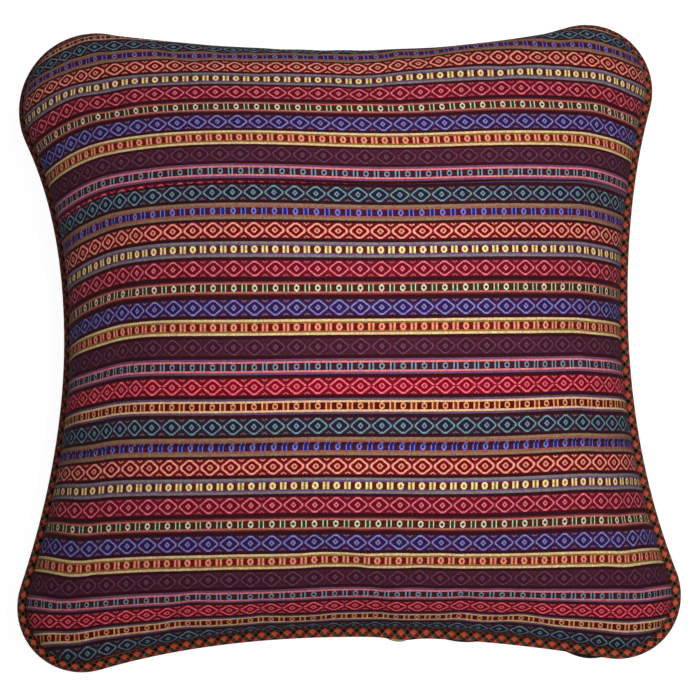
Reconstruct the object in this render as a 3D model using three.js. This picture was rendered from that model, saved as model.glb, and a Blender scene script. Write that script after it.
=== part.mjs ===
// A square throw pillow lying on its back: one filled cushion with drawn-in sides and rounded corners,
// and a corded piping sewn round its seam. Millimetres, +Z up, front face up, upper edge towards +Y.
import * as THREE from 'three';

// Driving dimensions of the filled cushion.
const FRONT_CROWN = 79; // middle of the front above the seam
const BACK_CROWN = 75; // middle of the back below the seam, before the floor presses it flat
const SEAM_HEIGHT = 63; // seam above the floor
const REST_BLEND = 5; // depth over which the back rounds into its flat rest
const FRONT_ROLL = 12; // how close to the seam the front rolls out over it, higher is closer
const BACK_ROLL = 2.5; // the same for the back, which leaves the seam more evenly
const CELLS = 40; // cells along each side of both faces

// The seam's rounded corners, counter-clockwise. The sides leave them on a slant, drawn inwards by the
// filling: arrive is that slant in degrees of the side that ends here, leave of the one that starts.
const CORNERS = [
  { corner: 'lower left', x: -183, y: -172, radius: 40, arrive: 18, leave: 16 },
  { corner: 'lower right', x: 178, y: -169, radius: 39, arrive: 11, leave: 20 },
  { corner: 'upper right', x: 167, y: 183, radius: 46, arrive: 18, leave: 13 },
  { corner: 'upper left', x: -174, y: 174, radius: 55, arrive: 10, leave: 26 },
];
const HEADINGS = [0, 90, 180, 270]; // degrees, the way each side runs from its own corner

// How the seam is pulled into the filling, counter-clockwise from the lower left corner.
// inwards draws it under the front's bulge and down lowers it towards the floor.
const SEAM_PULL = [
  { station: 'lower left corner', inwards: 3, down: 0 },
  { station: 'lower side', inwards: 1, down: -2 },
  { station: 'lower right corner', inwards: 3, down: 0 },
  { station: 'right side', inwards: 2, down: 0 },
  { station: 'upper right corner', inwards: 6, down: 4 },
  { station: 'upper side', inwards: 15, down: 10 },
  { station: 'upper left corner', inwards: 7, down: 4 },
  { station: 'left side', inwards: 4, down: 0 },
];

// Soft swells and dents in the front, where the filling is uneven.
const SWELLS = [
  { x: -35, y: 150, radius: 45, rise: 2.5 },
  { x: 25, y: 120, radius: 50, rise: -3 },
  { x: -120, y: 60, radius: 55, rise: -2.5 },
  { x: 110, y: 100, radius: 55, rise: 2.5 },
  { x: -90, y: -110, radius: 60, rise: 2.5 },
  { x: 95, y: -90, radius: 55, rise: -2.5 },
];

// The piping.
const CORD_RADIUS = 3.5;
const CORD_SIDES = 8;
const SEAM_GAP = 0.4; // between the piping and the cushion
const LAP_X = 32; // where the cord's two ends lap, on the lower side
const LAP_LENGTH = 11;
const LAP_SWELL = 0.28; // share by which the lap is thicker than the cord
const LAP_STATIONS = 6; // extra sections of the cord each side of the lap

const FRONT_COLOUR = 0x5e2630;
const PIPING_COLOUR = 0x7d2f24;

const radians = THREE.MathUtils.degToRad;
const mix = THREE.MathUtils.lerp;

/** Half a turn of cosine from 0 to 1, for smooth steps between table rows. */
function ease(share) {
  return (1 - Math.cos(Math.PI * share)) / 2;
}

/** One side of the seam in plan, mid-corner to mid-corner: an arc, a drawn-in curve and an arc. */
function sideCurve(index) {
  const from = CORNERS[index];
  const to = CORNERS[(index + 1) % CORNERS.length];
  const heading = radians(HEADINGS[index]);
  const quarter = Math.PI / 2;
  const eighth = Math.PI / 4;
  const leave = radians(from.leave);
  const arrive = radians(to.arrive);
  const first = new THREE.EllipseCurve(
    from.x, from.y, from.radius, from.radius, heading - quarter - eighth, heading - quarter + leave, false);
  const last = new THREE.EllipseCurve(
    to.x, to.y, to.radius, to.radius, heading - quarter - arrive, heading - eighth, false);
  const start = first.getPoint(1);
  const end = last.getPoint(0);
  const pull = start.distanceTo(end) / 3;
  const startHandle = new THREE.Vector2(Math.cos(heading + leave), Math.sin(heading + leave));
  const endHandle = new THREE.Vector2(Math.cos(heading - arrive), Math.sin(heading - arrive));
  const drawnIn = new THREE.CubicBezierCurve(
    start,
    startHandle.multiplyScalar(pull).add(start),
    endHandle.multiplyScalar(-pull).add(end),
    end);
  const side = new THREE.CurvePath();
  side.add(first);
  side.add(drawnIn);
  side.add(last);
  return side;
}

const SIDES = HEADINGS.map((heading, index) => sideCurve(index));

/** Point of the undrawn seam in plan. turn runs 0 to 4 counter-clockwise, a whole number per side. */
function seamPlan(turn) {
  const wrapped = THREE.MathUtils.euclideanModulo(turn, SIDES.length);
  const side = Math.floor(wrapped);
  return SIDES[side].getPoint(wrapped - side);
}

/** Outward direction of the seam in plan at a turn. */
function seamOutward(turn) {
  const step = 0.004;
  const along = seamPlan(turn + step).sub(seamPlan(turn - step)).normalize();
  return new THREE.Vector2(along.y, -along.x);
}

/** The pull on the seam at a turn, eased between the stations of the table. */
function seamPull(turn) {
  const place = THREE.MathUtils.euclideanModulo(turn * 2, SEAM_PULL.length);
  const index = Math.floor(place);
  const here = SEAM_PULL[index];
  const next = SEAM_PULL[(index + 1) % SEAM_PULL.length];
  const share = ease(place - index);
  return { inwards: mix(here.inwards, next.inwards, share), down: mix(here.down, next.down, share) };
}

/** The turn of the seam that lies straight out from spot a, b of the square -1 to 1. */
function turnOf(a, b) {
  const reach = Math.max(Math.abs(a), Math.abs(b), 1e-9);
  const across = a / reach;
  const up = b / reach;
  if (up <= -1 + 1e-9) return (1 + across) / 2;
  if (across >= 1 - 1e-9) return 1 + (1 + up) / 2;
  if (up >= 1 - 1e-9) return 2 + (1 - across) / 2;
  return 3 + (1 - up) / 2;
}

/** Plan of the cushion: a patch blended between its four sides, a and b in -1 to 1. */
function plan(a, b) {
  const s = (1 + a) / 2;
  const t = (1 + b) / 2;
  const lower = SIDES[0].getPoint(s);
  const right = SIDES[1].getPoint(t);
  const upper = SIDES[2].getPoint(1 - s);
  const left = SIDES[3].getPoint(1 - t);
  const low = SIDES[0].getPoint(0).lerp(SIDES[1].getPoint(0), s);
  const high = SIDES[3].getPoint(0).lerp(SIDES[2].getPoint(0), s);
  const across = left.lerp(right, s);
  const along = lower.lerp(upper, t);
  return across.add(along).sub(low.lerp(high, t));
}

/** How full the cushion is at a spot: 0 at the seam, 1 in the middle, round in section both ways. */
function fullness(a, b) {
  return Math.sqrt(Math.max(0, (1 - a * a) * (1 - b * b)));
}

/** Depth that the floor takes off the back, eased in over REST_BLEND on each side of the contact. */
function pressedIn(depth) {
  const past = depth - SEAM_HEIGHT;
  if (past <= -REST_BLEND) return 0;
  if (past >= REST_BLEND) return past;
  return (past + REST_BLEND) ** 2 / (4 * REST_BLEND);
}

/** Height of the uneven filling at a point in plan. */
function swell(x, y) {
  let rise = 0;
  for (const spot of SWELLS) {
    rise += spot.rise * Math.exp(-((x - spot.x) ** 2 + (y - spot.y) ** 2) / (2 * spot.radius ** 2));
  }
  return rise;
}

/** Point on the front or the back of the cushion, the seam's pull fading towards the middle. */
function facePoint(a, b, isFront) {
  const full = fullness(a, b);
  const turn = turnOf(a, b);
  const pull = seamPull(turn);
  const hold = (1 - full) ** (isFront ? FRONT_ROLL : BACK_ROLL);
  const spot = plan(a, b).addScaledVector(seamOutward(turn), -pull.inwards * hold);
  const seamLevel = SEAM_HEIGHT - pull.down * hold;
  if (isFront) {
    return new THREE.Vector3(spot.x, spot.y, seamLevel + FRONT_CROWN * full + swell(spot.x, spot.y) * full);
  }
  const depth = BACK_CROWN * full + pull.down * hold;
  return new THREE.Vector3(spot.x, spot.y, SEAM_HEIGHT - depth + pressedIn(depth));
}

/** Spacing of the cells, closer towards the seam: -1 to 1 by a sine. */
function spacing(index) {
  return Math.sin((index / CELLS - 0.5) * Math.PI);
}

/** A closed body from points and triangles. */
function solid(points, triangles) {
  const geometry = new THREE.BufferGeometry().setFromPoints(points);
  geometry.setIndex(triangles);
  geometry.computeVertexNormals();
  return geometry;
}

/** The filled cushion: front and back grids that share the seam's points. */
function cushionGeometry() {
  const points = [];
  const front = [];
  const back = [];
  for (let j = 0; j <= CELLS; j += 1) {
    front.push([]);
    back.push([]);
    for (let i = 0; i <= CELLS; i += 1) {
      const a = spacing(i);
      const b = spacing(j);
      const onSeam = i === 0 || j === 0 || i === CELLS || j === CELLS;
      front[j].push(points.push(facePoint(a, b, true)) - 1);
      back[j].push(onSeam ? front[j][i] : points.push(facePoint(a, b, false)) - 1);
    }
  }
  const triangles = [];
  for (let j = 0; j < CELLS; j += 1) {
    for (let i = 0; i < CELLS; i += 1) {
      const f = [front[j][i], front[j][i + 1], front[j + 1][i + 1], front[j + 1][i]];
      const r = [back[j][i], back[j][i + 1], back[j + 1][i + 1], back[j + 1][i]];
      // In the lower left and upper right quarters the cell is cut on its other diagonal, so that no
      // triangle has all three points on the seam.
      if ((i < CELLS / 2) === (j < CELLS / 2)) {
        triangles.push(f[0], f[1], f[2], f[0], f[2], f[3], r[0], r[2], r[1], r[0], r[3], r[2]);
      } else {
        triangles.push(f[0], f[1], f[3], f[1], f[2], f[3], r[0], r[3], r[1], r[1], r[3], r[2]);
      }
    }
  }
  return solid(points, triangles);
}

/** Turns of the seam at which the piping has a section: the cushion's own and more at the lap. */
function pipingTurns() {
  const turns = [];
  for (let side = 0; side < SIDES.length; side += 1) {
    for (let i = 0; i < CELLS; i += 1) {
      turns.push(side + (1 + spacing(i)) / 2);
    }
  }
  const length = SIDES[0].getLength();
  let lapTurn = 0.5;
  for (let i = 0; i < LAP_STATIONS; i += 1) {
    lapTurn += (LAP_X - seamPlan(lapTurn).x) / length;
  }
  for (let i = -LAP_STATIONS; i <= LAP_STATIONS; i += 1) {
    turns.push(lapTurn + (i * 2 * LAP_LENGTH) / (LAP_STATIONS * length));
  }
  return turns.sort((one, other) => one - other);
}

/** Angle above the horizontal, in a section across the seam, of a face just inside the seam. */
function faceSlope(turn, isFront) {
  const side = Math.floor(turn) % SIDES.length;
  const place = 2 * (turn - Math.floor(turn)) - 1;
  const inner = spacing(1);
  const near = THREE.MathUtils.clamp(place, inner, -inner);
  const inside = [[near, inner], [-inner, near], [-near, -inner], [inner, -near]][side];
  const onSeam = [[place, -1], [1, place], [-place, 1], [-1, -place]][side];
  const step = facePoint(...inside, isFront).sub(facePoint(...onSeam, true));
  const outward = seamOutward(turn);
  return Math.atan2(step.z, step.x * outward.x + step.y * outward.y);
}

/** The piping: a round cord held in the groove between front and back, thicker where its ends lap. */
function pipingGeometry() {
  const points = [];
  const triangles = [];
  const turns = pipingTurns();
  turns.forEach((turn, index) => {
    const pull = seamPull(turn);
    const outward = seamOutward(turn);
    const seam = seamPlan(turn).addScaledVector(outward, -pull.inwards);
    const onLowerSide = seam.y < 0 && turn < 1;
    const lap = onLowerSide ? Math.exp(-(((seam.x - LAP_X) / LAP_LENGTH) ** 2)) : 0;
    const radius = CORD_RADIUS * (1 + LAP_SWELL * lap);
    const frontAngle = faceSlope(turn, true);
    const backAngle = faceSlope(turn, false);
    const lean = (frontAngle + backAngle) / 2;
    const half = Math.min((frontAngle - backAngle) / 2, Math.PI / 2);
    const reach = (radius + SEAM_GAP) / Math.sin(half);
    const level = SEAM_HEIGHT - pull.down + reach * Math.sin(lean);
    const centre = seam.clone().addScaledVector(outward, reach * Math.cos(lean));
    for (let j = 0; j < CORD_SIDES; j += 1) {
      const angle = (2 * Math.PI * j) / CORD_SIDES;
      const out = radius * Math.cos(angle);
      points.push(new THREE.Vector3(
        centre.x + outward.x * out, centre.y + outward.y * out, level + radius * Math.sin(angle)));
      const here = index * CORD_SIDES;
      const next = ((index + 1) % turns.length) * CORD_SIDES;
      const above = (j + 1) % CORD_SIDES;
      triangles.push(here + j, next + j, next + above, here + j, next + above, here + above);
    }
  });
  return solid(points, triangles);
}

const cushion = new THREE.Mesh(
  cushionGeometry(),
  new THREE.MeshStandardMaterial({ color: FRONT_COLOUR, roughness: 0.95, metalness: 0 }));
cushion.name = 'cushion';

const piping = new THREE.Mesh(
  pipingGeometry(),
  new THREE.MeshStandardMaterial({ color: PIPING_COLOUR, roughness: 0.95, metalness: 0 }));
piping.name = 'piping';

const pillow = new THREE.Group();
pillow.add(cushion, piping);

// The origin is under the middle of the whole pillow, on the floor.
const middle = new THREE.Box3().setFromObject(pillow).getCenter(new THREE.Vector3());
for (const piece of pillow.children) {
  piece.geometry.translate(-middle.x, -middle.y, 0);
}

export default pillow;
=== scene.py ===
"""A square throw pillow lying on its back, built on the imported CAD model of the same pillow.

Run as a script, it registers the add-on below and calls its operators in order: the stage, the filled
cushion with its striped front and plain back, the piping, and the folded end where the piping laps.
"""
import math

import bmesh
import bpy
import numpy as np
from mathutils import Matrix, Vector


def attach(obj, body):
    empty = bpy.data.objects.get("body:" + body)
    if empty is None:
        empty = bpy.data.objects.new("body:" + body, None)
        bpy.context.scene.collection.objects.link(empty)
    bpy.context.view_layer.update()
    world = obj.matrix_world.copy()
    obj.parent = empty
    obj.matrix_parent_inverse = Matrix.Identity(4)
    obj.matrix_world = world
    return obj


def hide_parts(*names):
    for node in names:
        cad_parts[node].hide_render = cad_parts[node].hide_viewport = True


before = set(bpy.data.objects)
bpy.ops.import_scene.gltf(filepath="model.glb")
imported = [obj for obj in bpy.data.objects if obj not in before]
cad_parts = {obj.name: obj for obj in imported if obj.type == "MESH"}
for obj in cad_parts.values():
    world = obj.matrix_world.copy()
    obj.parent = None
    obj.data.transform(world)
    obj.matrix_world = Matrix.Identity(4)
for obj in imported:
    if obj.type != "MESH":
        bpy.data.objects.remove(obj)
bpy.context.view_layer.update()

bl_info = {
    "name": "Throw pillow",
    "version": (1, 0, 0),
    "blender": (4, 5, 0),
    "location": "3D View > Sidebar > Pillow",
    "description": "Builds a filled throw pillow with a striped front and corded piping",
    "category": "Add Mesh",
}

MM = 0.001

# The seam's rounded corners in plan, counter-clockwise from the lower left, in millimetres. The sides
# leave a corner on a slant, drawn inwards by the filling: arrive is the slant in degrees of the side
# that ends there, leave of the one that starts.
CORNERS = [
    {"x": -183, "y": -172, "radius": 40, "arrive": 18, "leave": 16},
    {"x": 178, "y": -169, "radius": 39, "arrive": 11, "leave": 20},
    {"x": 167, "y": 183, "radius": 46, "arrive": 18, "leave": 13},
    {"x": -174, "y": 174, "radius": 55, "arrive": 10, "leave": 26},
]
SIDE_STEPS = 1024

# How the filling pulls the seam inwards and down at each corner and side, counter-clockwise from the
# lower left corner, and the powers by which the pull fades inwards on the front and on the back.
PULL_INWARDS = [3, 1, 3, 2, 6, 15, 7, 4]
PULL_DOWN = [0, -2, 0, 0, 4, 10, 4, 0]
FRONT_ROLL = 12
BACK_ROLL = 2.5

# Soft swells and dents where the filling is uneven: x, y, radius and rise.
SWELLS = [
    (-35, 150, 45, 2.5),
    (25, 120, 50, -3),
    (-120, 60, 55, -2.5),
    (110, 100, 55, 2.5),
    (-90, -110, 60, 2.5),
    (95, -90, 55, -2.5),
]

# Where the back's filling swells out past the piping on the lower side: x, half width and reach. They
# reach farthest where the cushion is as full as BACK_SWELL_PEAK.
BACK_SWELLS = [(73, 31, 10.2), (157, 26, 13.2)]
BACK_SWELL_PEAK = 0.17

# The piping's groove is measured one cell inside the seam, on a grid of GROOVE_CELLS to a side. The
# cord has CORD_SIDES points round it.
GROOVE_CELLS = 40
CORD_SIDES = 16

# The cover's panel before it is filled.
PANEL = 450
PANEL_CORNER = 45

# How far the stripes bow off the panel's own straight lines, at seven places from left to right and at
# five levels from the lower seam up.
BOW_ACROSS = [-1, -0.8, -0.5, 0, 0.5, 0.8, 1]
BOW_LEVELS = [40, 160, 270, 330, 400]
BOW = [
    [-3, -6.5, -4, 0, -3, -4.5, -1.5],
    [-3, -8.5, -4, 0, -3.5, -8.5, -7.5],
    [-2.5, -7, -5.5, 0, -4.5, -9.5, -15],
    [-5, -5, -6, 0, -5, -9.5, -16.5],
    [-1, -1.5, -4, 0, -10.5, -9.5, -15.5],
]

# The two seams that join the front's three strips, as levels on the cloth, and half the width of the
# valley that they draw in.
UPPER_JOIN = 304.9
LOWER_JOIN = 137.4
JOIN_WIDTH = 4

# Straight lines over the cloth: a place, the value there and the slope. The upper seam is a little
# slanted, and the motifs' middle line leans in the lower and in the middle strip. In the upper strip it
# bends, by the last number times the square of the distance from the place.
JOIN_SLANT = (212, UPPER_JOIN, 0.009)
LOWER_LEAN = (125, 219.75, 0.044)
MIDDLE_LEAN = (235, 222.4, 0.013)
UPPER_BEND = (335, 229.9, 0.0009)

# The three strips, lower, middle and upper: the level of the middle of a first stripe, the height of a
# stripe, how far from the left side the filling gathers the cloth, and by what share.
FIRST_STRIPE = (148, 297.7, 419.2)
STRIPE_HEIGHT = (12.25, 12.41, 11.89)
LEFT_GATHER = (25, 90, 60)
LEFT_SHARE = (0.15, 0.27, 0.27)

# Beside the right side, the gathered length grows e times over each so many millimetres, from the
# place and the length given.
RIGHT_GATHER = 438
RIGHT_GROWTH = 22
RIGHT_LENGTH = 13

# Near the lower seam, the cloth between these levels takes up so much more of the stripes.
EDGE_TOP = 38
EDGE_HEIGHT = 20
EDGE_TAKEN = 5.2

# A diamond's width with its gap, and the spacing of the threads.
MOTIF_PITCH = 13.85
THREAD_ACROSS = MOTIF_PITCH / 40
THREAD_UP = 0.38
BACK_THREAD = 0.5

# One square of the piping's check, and the length along the cord after which the check comes again.
CHECK_SQUARE = 3
CHECK_REPEAT = 2 * CHECK_SQUARE * math.sqrt(2)

# The back's cloth coordinates and the folded end's start away from the front's, so no threads repeat.
BACK_CLOTH = (700, 230)
FOLD_CLOTH = (0, 900)

# Frames that the cloth simulation runs for.
FRAMES = 20

# Where the soft light hangs, in metres.
KEY_PLACE = (0.1, 0.03, 0.52)


def ease(share):
    """Half a turn of cosine from 0 to 1."""
    return (1 - np.cos(np.pi * share)) / 2


def lengths_along(points, axis=0):
    """Distance from the first point to each point of a line, or of every line of a grid."""
    steps = np.linalg.norm(np.diff(points, axis=axis), axis=-1)
    start = np.zeros_like(np.take(steps, [0], axis=axis))
    return np.concatenate([start, np.cumsum(steps, axis=axis)], axis=axis)


def spread_evenly(points, count):
    """The same line through count points at even distances along it."""
    along = lengths_along(points)
    places = np.linspace(0, along[-1], count)
    return np.stack([np.interp(places, along, column) for column in points.T], axis=1)


def arc(corner, start, end):
    """Points on a corner's circle between two directions."""
    turn = np.linspace(start, end, 200)
    ring = np.stack([np.cos(turn), np.sin(turn)], axis=1)
    return np.array([corner["x"], corner["y"]]) + corner["radius"] * ring


def side_curve(index):
    """One side of the seam in plan from mid-corner to mid-corner: an arc, a cubic Bezier drawn in
    between the corners with handles a third of its chord long, and an arc."""
    first = CORNERS[index]
    last = CORNERS[(index + 1) % 4]
    heading = index * math.pi / 2
    leave = math.radians(first["leave"])
    arrive = math.radians(last["arrive"])
    start_arc = arc(first, heading - math.pi * 3 / 4, heading - math.pi / 2 + leave)
    end_arc = arc(last, heading - math.pi / 2 - arrive, heading - math.pi / 4)
    start = start_arc[-1]
    end = end_arc[0]
    handle = np.linalg.norm(end - start) / 3
    start_handle = start + handle * np.array([math.cos(heading + leave), math.sin(heading + leave)])
    end_handle = end - handle * np.array([math.cos(heading - arrive), math.sin(heading - arrive)])
    t = np.linspace(0, 1, 600)[:, None]
    rest = 1 - t
    middle = rest**3 * start + 3 * rest**2 * t * start_handle + 3 * rest * t**2 * end_handle + t**3 * end
    line = np.concatenate([start_arc[:-1], middle, end_arc[1:]])
    return spread_evenly(line, SIDE_STEPS + 1)


SIDES = [side_curve(index) for index in range(4)]
SEAM_LINE = np.concatenate([*(side[:-1] for side in SIDES), SIDES[0][:1]])


def seam_plan(turn):
    """Seam in plan before it is pulled. turn runs 0 to 4 counter-clockwise, a whole number per side."""
    places = np.mod(turn, 4) * SIDE_STEPS
    knots = np.arange(len(SEAM_LINE))
    return np.stack([np.interp(places, knots, column) for column in SEAM_LINE.T], axis=-1)


def seam_outward(turn):
    """Outward direction of the seam in plan, square to a short chord."""
    along = seam_plan(turn + 0.004) - seam_plan(turn - 0.004)
    along = along / np.linalg.norm(along, axis=-1, keepdims=True)
    return np.stack([along[..., 1], -along[..., 0]], axis=-1)


def seam_pull(turn, table):
    """A pull on the seam, eased between the eight stations of its table."""
    place = np.mod(np.asarray(turn) * 2, 8)
    index = np.floor(place).astype(int) % 8
    share = ease(place - np.floor(place))
    values = np.array(table, dtype=float)
    return values[index] * (1 - share) + values[(index + 1) % 8] * share


def turn_of(a, b):
    """The turn of the seam that lies straight out from spot a, b of the square -1 to 1."""
    reach = np.maximum(np.maximum(np.abs(a), np.abs(b)), 1e-9)
    across = a / reach
    up = b / reach
    turn = 3 + (1 - up) / 2
    turn = np.where(up >= 1 - 1e-9, 2 + (1 - across) / 2, turn)
    turn = np.where(across >= 1 - 1e-9, 1 + (1 + up) / 2, turn)
    return np.where(up <= -1 + 1e-9, (1 + across) / 2, turn)


def plan(a, b):
    """Plan of the cushion: a patch blended between its four sides."""
    s = ((1 + a) / 2)[..., None]
    t = ((1 + b) / 2)[..., None]
    lower = seam_plan((1 + a) / 2)
    right = seam_plan(1 + (1 + b) / 2)
    upper = seam_plan(2 + (1 - a) / 2)
    left = seam_plan(3 + (1 - b) / 2)
    corners = [seam_plan(np.array(float(index))) for index in range(4)]
    low = corners[0] * (1 - s) + corners[1] * s
    high = corners[3] * (1 - s) + corners[2] * s
    across = left * (1 - s) + right * s
    along = lower * (1 - t) + upper * t
    return across + along - (low * (1 - t) + high * t)


def fullness(a, b):
    """How full the cushion is: 0 at the seam, 1 in the middle, round in section both ways."""
    return np.sqrt(np.clip((1 - a * a) * (1 - b * b), 0, None))


def swell(x, y):
    """Height of the uneven filling at a point in plan: a sum of Gaussian rises."""
    rise = np.zeros_like(x)
    for spot_x, spot_y, radius, height in SWELLS:
        rise = rise + height * np.exp(-((x - spot_x) ** 2 + (y - spot_y) ** 2) / (2 * radius**2))
    return rise


def face_points(a, b, is_front, shape):
    """Points of the front or the back over the square a, b from -1 to 1, in millimetres. The height is
    the crown times the fullness, the seam's pull fades inwards by a power of what is left to full, and
    the back is pressed flat on the floor through a short quadratic blend."""
    full = fullness(a, b)
    turn = turn_of(a, b)
    hold = (1 - full) ** (FRONT_ROLL if is_front else BACK_ROLL)
    inwards = seam_pull(turn, PULL_INWARDS) * hold
    down = seam_pull(turn, PULL_DOWN) * hold
    spot = plan(a, b) - seam_outward(turn) * inwards[..., None]
    x = spot[..., 0]
    y = spot[..., 1]
    seam_height = shape.seam_height / MM
    if is_front:
        z = seam_height - down + (shape.front_crown / MM + swell(x, y)) * full
    else:
        depth = shape.back_crown / MM * full + down
        blend = shape.rest_blend / MM
        past = depth - seam_height
        pressed = np.where(past > blend, past, np.clip(past + blend, 0, None) ** 2 / (4 * blend))
        z = seam_height - depth + pressed
    return np.stack([x, y, z], axis=-1)


def back_swell(a, b, x):
    """How far the back swells out beside the lower side: Gaussian bumps along it, times a rise from the
    seam and a slower fall inwards, x times e to the 1 - x to a power, with x the share of fullness."""
    share = fullness(a, b) / BACK_SWELL_PEAK
    level = (share * np.exp(1 - share)) ** 1.5 * (b < 0)
    reach = np.zeros_like(x)
    for spot, width, most in BACK_SWELLS:
        reach = reach + most * np.exp(-(((x - spot) / width) ** 2))
    return reach * level


def spacing(count):
    """Cell lines from -1 to 1 by a sine, closer towards the seam."""
    return np.sin(np.linspace(-0.5, 0.5, count + 1) * np.pi)


def side_spot(side, along, out):
    """The spot of the square -1 to 1 at a place along one of its sides and a distance out."""
    return np.choose(side, [along, out, -along, -out]), np.choose(side, [-out, along, out, -along])


def seam_groove(turn, shape):
    """Where the piping's centre sits: it touches the front and the back just inside the seam, so it
    lies on the line that halves the groove between them. Returns seam point, outward, lean and half."""
    side = np.floor(turn).astype(int) % 4
    place = 2 * (turn - np.floor(turn)) - 1
    inner = -spacing(GROOVE_CELLS)[1]
    inside = side_spot(side, np.clip(place, -inner, inner), np.full_like(place, inner))
    seam = face_points(*side_spot(side, place, np.ones_like(place)), True, shape)
    outward = seam_outward(turn)
    angles = []
    for is_front in (True, False):
        step = face_points(*inside, is_front, shape) - seam
        out = step[..., 0] * outward[..., 0] + step[..., 1] * outward[..., 1]
        angles.append(np.arctan2(step[..., 2], out))
    lean = (angles[0] + angles[1]) / 2
    half = np.minimum((angles[0] - angles[1]) / 2, np.pi / 2)
    return seam, outward, lean, half


def cord_line(turns, shape, cord):
    """Centre, outward direction, radius, lean and distance from the seam of the piping at each turn of
    the seam. The cord is thicker by a Gaussian where its two ends lap on the lower side."""
    seam, outward, lean, half = seam_groove(turns, shape)
    is_low = (np.mod(turns, 4) < 1) & (seam[:, 1] < 0)
    from_lap = (seam[:, 0] - cord.lap_place / MM) / (cord.lap_length / MM)
    lap = np.where(is_low, np.exp(-(from_lap**2)), 0)
    radius = cord.cord_radius / MM * (1 + cord.lap_swell * lap)
    reach = (radius + cord.seam_gap / MM) / np.sin(half)
    centre = seam.copy()
    centre[:, :2] += outward * (reach * np.cos(lean))[:, None]
    centre[:, 2] += reach * np.sin(lean)
    return centre, outward, radius, lean, reach


def tube_points(centre, outward, reach, angles):
    """Rings round a cord: each lies in the plane of up and the seam's outward direction, and has its
    points at the angles and the distances from the centre that the two tables give."""
    out = (reach * np.cos(angles))[..., None] * outward[:, None]
    up = (reach * np.sin(angles))[..., None]
    return centre[:, None] + np.concatenate([out, up], axis=-1)


def ring_angles(start, sides):
    """Even angles round each ring, from an angle of its own."""
    return start[:, None] + 2 * np.pi * np.arange(sides) / sides


def plan_middle(shape, cord):
    """Middle of the whole pillow in plan, which the CAD puts over its origin."""
    turns = np.linspace(0, 4, 1601)[:-1]
    centre, outward, radius = cord_line(turns, shape, cord)[:3]
    angles = ring_angles(np.full(len(turns), np.pi), 8)
    points = tube_points(centre, outward, radius[:, None], angles).reshape(-1, 3)
    return (points.min(axis=0) + points.max(axis=0)) / 2 * np.array([1, 1, 0])


def grid_quads(numbers):
    """Quads between the neighbouring numbers of a grid, counter-clockwise seen from above."""
    low = numbers[:-1]
    high = numbers[1:]
    return np.stack([low[:, :-1], low[:, 1:], high[:, 1:], high[:, :-1]], axis=-1).reshape(-1, 4)


def placed(name, data):
    """A new object in the scene's main collection."""
    made = bpy.data.objects.new(name, data)
    bpy.context.scene.collection.objects.link(made)
    return made


def new_mesh(name, points, quads):
    """A smooth-shaded mesh from points in metres and quads."""
    mesh = bpy.data.meshes.new(name)
    mesh.from_pydata(points.tolist(), [], quads.tolist())
    if mesh.validate():
        raise ValueError(f"{name} has broken faces")
    mesh.polygons.foreach_set("use_smooth", np.ones(len(mesh.polygons), dtype=bool))
    mesh.update()
    return mesh


def corner_points(mesh):
    """The point's number at each corner of each face."""
    numbers = np.empty(len(mesh.loops), dtype=np.int32)
    mesh.loops.foreach_get("vertex_index", numbers)
    return numbers


def set_cloth(mesh, places):
    """Keeps each face corner's place on the cloth, given in millimetres, as a UV layer in metres."""
    mesh.uv_layers.new(name="cloth").data.foreach_set("uv", (places * MM).ravel())


def new_piece(name, mesh, materials):
    """An object of the pillow, riding on its one body."""
    piece = placed(name, mesh)
    for material in materials:
        mesh.materials.append(material)
    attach(piece, "root")
    return piece


def subdivide(piece):
    """One smooth subdivision, the same in the viewport and in the render."""
    modifier = piece.modifiers.new("Smooth", "SUBSURF")
    modifier.levels = 1
    modifier.render_levels = 1


def flat_side(share):
    """A side of the flat panel with rounded corners from mid-corner to mid-corner: how far along it and
    how far inwards the outline is at a share of its length."""
    quarter = math.pi / 4 * PANEL_CORNER
    straight = PANEL - 2 * PANEL_CORNER
    place = share * (2 * quarter + straight)
    first = np.clip(math.pi / 4 - place / PANEL_CORNER, 0, None)
    last = np.clip((place - quarter - straight) / PANEL_CORNER, 0, None)
    along = np.clip(place - quarter, 0, straight) + PANEL_CORNER * (1 - np.sin(first) + np.sin(last))
    inwards = PANEL_CORNER * (2 - np.cos(first) - np.cos(last))
    return along, inwards


def flat_level(u, v):
    """Level on the flat panel at shares u and v of the filled cloth's lengths: the same blended patch
    as the plan, between the four sides of the flat outline."""
    inwards = flat_side(u)[1]
    along = flat_side(v)[0]
    corner = PANEL_CORNER * (1 - math.sqrt(0.5))
    level = along + (1 - v) * inwards + v * (PANEL - inwards)
    return level - ((1 - v) * corner + v * (PANEL - corner))


def through_knots(knots, x):
    """Weights of each knot's value at x, for the polynomial that goes through all of them."""
    weights = []
    for here in knots:
        weight = np.ones_like(x)
        for other in knots:
            if other != here:
                weight = weight * (x - other) / (here - other)
        weights.append(weight)
    return np.stack(weights)


def cloth_places(front, a):
    """Place on the woven cloth of every grid point of the front, in millimetres: across from its middle
    line by the length of the filled cloth, and up by the flat panel's level plus the stripes' bow."""
    across = lengths_along(front, axis=1)
    up = lengths_along(front, axis=0)
    middle = across[:, across.shape[1] // 2][:, None]
    level = flat_level(across / across[:, -1:], up / up[-1:])
    by_level = through_knots(BOW_LEVELS, level)
    by_place = through_knots(BOW_ACROSS, np.broadcast_to(a, level.shape))
    bow = np.einsum("vij,aij,va->ij", by_level, by_place, np.array(BOW, dtype=float))
    return PANEL / 2 + across - middle, level + bow


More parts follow.
